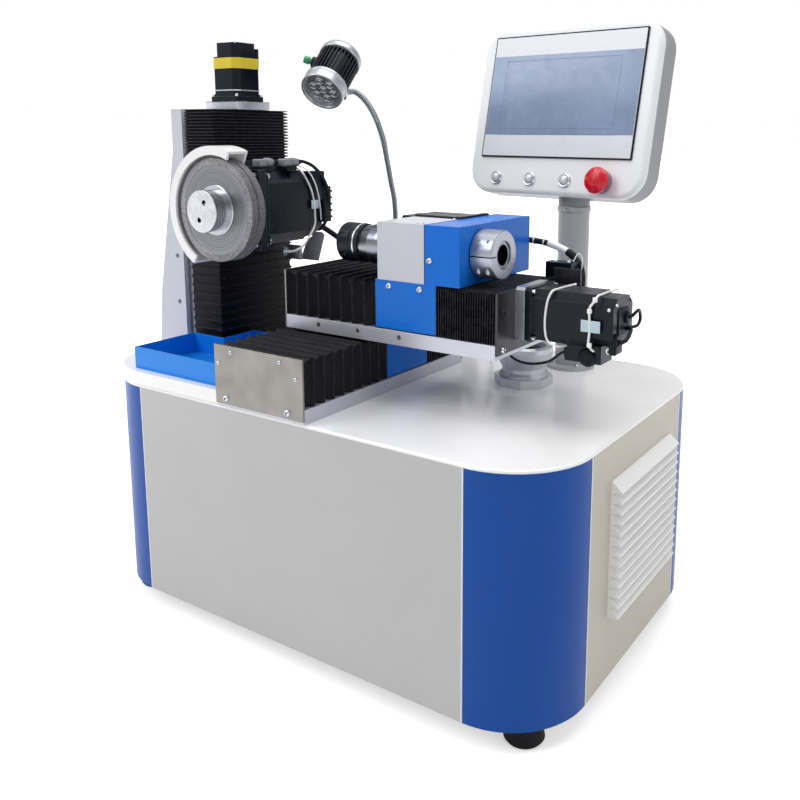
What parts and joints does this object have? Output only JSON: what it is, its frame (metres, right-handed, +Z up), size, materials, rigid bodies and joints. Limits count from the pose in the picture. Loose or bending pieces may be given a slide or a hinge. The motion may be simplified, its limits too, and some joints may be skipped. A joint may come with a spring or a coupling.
{
  "type": "wet grinding sharpener",
  "caption": "Bench-height tool grinder: twin wheels on a column slide, workhead on a cross slide, tilted screen panel and lamp on a sheet metal cabinet.",
  "frame": {"origin": "middle of the overall footprint, on the floor under the feet", "axes": "+X to the machine's right, seen from the operator's side; +Y to the back; +Z up"},
  "size_m": [0.815, 0.552, 0.9025],
  "materials": {
    "foot_rubber": "moulded, matt",
    "frame_paint": "powder coat",
    "white_paint": "smooth powder coat",
    "warm_paint": "smooth powder coat",
    "blue_paint": "satin paint",
    "white_plastic": "moulded",
    "equipment": "powder coat",
    "machined_steel": "ground",
    "stainless": "brushed stainless sheet",
    "motor_black": "semi gloss black",
    "bellows_rubber": "rubberised fabric, matt",
    "grey_paint": "satin paint",
    "belt_rubber": "toothed belt",
    "chromed_steel": "polished",
    "blackened_steel": "black oxide",
    "anodised_aluminium": "fine turned, clear anodised",
    "cable_rubber": "cable sheath",
    "dark_rail": "dark blue black",
    "wheel_body": "turned disc with an abrasive rim",
    "tray_blue": "gloss powder coat",
    "panel_white": "smooth moulded",
    "screen_glass": "flat glass, display off",
    "grey_plastic": "moulded",
    "estop_red": "gloss",
    "gland_aluminium": "cast and turned",
    "lamp_black": "black anodised",
    "neck_chrome": "wound metal hose",
    "switch_green": "moulded"
  },
  "bodies": {
    "machine": {"feet": "foot_rubber", "cabinet_frame": "frame_paint", "front_panel": "white_paint", "back_panel": "warm_paint", "side_panels": "warm_paint", "corner_panels": "blue_paint", "side_louvre": "white_plastic", "worktop": "white_paint", "base_plate": "white_paint", "cabinet_equipment": "equipment", "y_rail": "machined_steel", "y_end_plates": "stainless", "y_motor": "motor_black", "y_bellows_front": "bellows_rubber", "y_bellows_rear": "bellows_rubber", "column": "white_paint", "z_rail": "dark_rail", "z_motor": "motor_black", "z_bellows_upper": "bellows_rubber", "z_bellows_lower": "bellows_rubber", "panel_post": "white_paint", "conduit_gland": "gland_aluminium", "lamp_base": "lamp_black", "grinder_cable": "cable_rubber"},
    "y_carriage": {"y_saddle": "blue_paint", "x_rail": "machined_steel", "x_end_plates": "stainless", "x_motor": "motor_black", "x_bellows_left": "bellows_rubber", "x_bellows_right": "bellows_rubber", "head_cable": "cable_rubber"},
    "x_carriage": {"x_saddle": "blue_paint", "spindle_housing": "grey_paint", "belt_cover": "blue_paint", "head_motor": "motor_black", "timing_belt": "belt_rubber"},
    "workpiece_spindle": {"work_spindle": "chromed_steel", "chuck_nut": "blackened_steel", "clamp_collar": "anodised_aluminium"},
    "drive_pulley": {"motor_pulley": "machined_steel"},
    "z_carriage": {"z_saddle": "blackened_steel", "grinding_motor": "motor_black", "wheel_guard": "white_paint"},
    "wheel_spindle": {"wheel_arbor": "machined_steel", "front_wheel": "wheel_body", "rear_wheel": "wheel_body"},
    "y_ball_screw": {"y_screw": "machined_steel"},
    "x_ball_screw": {"x_screw": "machined_steel"},
    "z_ball_screw": {"z_screw": "machined_steel"},
    "tray": {"drip_tray": "tray_blue"},
    "operator_panel": {"panel_housing": "panel_white", "panel_screen": "screen_glass"},
    "start_push": {"start_button": "chromed_steel"},
    "stop_push": {"stop_button": "chromed_steel"},
    "mode_push": {"mode_button": "chromed_steel"},
    "estop_plunger": {"estop_stem": "grey_plastic"},
    "estop_mushroom": {"estop_head": "estop_red"},
    "gooseneck": {"lamp_neck": "neck_chrome"},
    "lamp": {"lamp_head": "lamp_black"},
    "lamp_push": {"lamp_switch": "switch_green"}
  },
  "joints": [
    {"name": "y_slide", "type": "slide", "parent": "machine", "child": "y_carriage", "axis": [0, 1, 0], "range_m": [-0.112, 0.06], "deforming": ["y_bellows_front", "y_bellows_rear"]},
    {"name": "x_slide", "type": "slide", "parent": "y_carriage", "child": "x_carriage", "axis": [1, 0, 0], "range_m": [-0.065, 0.038], "deforming": ["x_bellows_left", "x_bellows_right", "head_cable"]},
    {"name": "z_slide", "type": "slide", "parent": "machine", "child": "z_carriage", "axis": [0, 0, 1], "range_m": [-0.05, 0.035], "deforming": ["z_bellows_lower", "z_bellows_upper", "grinder_cable"]},
    {"name": "work_spindle_turn", "type": "hinge", "parent": "x_carriage", "child": "workpiece_spindle", "pos_m": [0.1925, -0.093, 0.5775], "axis": [1, 0, 0], "continuous": true},
    {"name": "motor_pulley_turn", "type": "hinge", "parent": "x_carriage", "child": "drive_pulley", "pos_m": [0.1525, -0.021, 0.58], "axis": [1, 0, 0], "continuous": true},
    {"name": "wheel_turn", "type": "hinge", "parent": "z_carriage", "child": "wheel_spindle", "pos_m": [-0.1825, -0.201, 0.624], "axis": [0, 1, 0], "continuous": true},
    {"name": "y_screw_turn", "type": "hinge", "parent": "machine", "child": "y_ball_screw", "pos_m": [-0.044, -0.073, 0.415], "axis": [0, 1, 0], "range_deg": [-2180, 4060]},
    {"name": "x_screw_turn", "type": "hinge", "parent": "y_carriage", "child": "x_ball_screw", "pos_m": [0.0725, -0.0665, 0.504], "axis": [1, 0, 0], "range_deg": [-1820, 2360]},
    {"name": "z_screw_turn", "type": "hinge", "parent": "machine", "child": "z_ball_screw", "pos_m": [-0.2885, -0.0625, 0.58], "axis": [0, 0, 1], "range_deg": [-1280, 1820]},
    {"name": "tray_lift", "type": "slide", "parent": "machine", "child": "tray", "axis": [0, 0, 1], "range_m": [0, 0.03]},
    {"name": "panel_swivel", "type": "hinge", "parent": "machine", "child": "operator_panel", "pos_m": [0.1955, 0.187, 0.63], "axis": [0, 0, 1], "range_deg": [-35, 35]},
    {"name": "start_press", "type": "slide", "parent": "operator_panel", "child": "start_push", "axis": [0.1192, 0.9709, -0.2079], "range_m": [0, 0.003], "stiffness_N_per_m": 500, "springref_m": -0.002},
    {"name": "stop_press", "type": "slide", "parent": "operator_panel", "child": "stop_push", "axis": [0.1192, 0.9709, -0.2079], "range_m": [0, 0.003], "stiffness_N_per_m": 500, "springref_m": -0.002},
    {"name": "mode_press", "type": "slide", "parent": "operator_panel", "child": "mode_push", "axis": [0.1192, 0.9709, -0.2079], "range_m": [0, 0.003], "stiffness_N_per_m": 500, "springref_m": -0.002},
    {"name": "estop_press", "type": "slide", "parent": "operator_panel", "child": "estop_plunger", "axis": [0.1192, 0.9709, -0.2079], "range_m": [0, 0.006], "stiffness_N_per_m": 900, "springref_m": -0.004},
    {"name": "estop_twist", "type": "hinge", "parent": "estop_plunger", "child": "estop_mushroom", "pos_m": [0.26101, 0.12655, 0.66589], "axis": [-0.1192, -0.9709, 0.2079], "range_deg": [0, 40], "stiffness_Nm_per_rad": 0.06, "springref_deg": -11.46},
    {"name": "lamp_swivel", "type": "hinge", "parent": "machine", "child": "gooseneck", "pos_m": [-0.1455, 0.167, 0.38], "axis": [0, 0, 1], "range_deg": [-20, 20]},
    {"name": "lamp_tilt", "type": "hinge", "parent": "gooseneck", "child": "lamp", "pos_m": [-0.16845, 0.05144, 0.79647], "axis": [0.9816, 0.1908, 0], "range_deg": [-20, 20]},
    {"name": "lamp_press", "type": "slide", "parent": "lamp", "child": "lamp_push", "axis": [0.8448, 0.4415, -0.3023], "range_m": [0, 0.0025], "stiffness_N_per_m": 400, "springref_m": -0.002}
  ],
  "couplings": [
    {"joint": "y_screw_turn", "follows": "y_slide", "rad_per_m": -628.32},
    {"joint": "x_screw_turn", "follows": "x_slide", "rad_per_m": -628.32},
    {"joint": "z_screw_turn", "follows": "z_slide", "rad_per_m": -628.32},
    {"joint": "motor_pulley_turn", "follows": "work_spindle_turn", "ratio": 2.5}
  ]
}
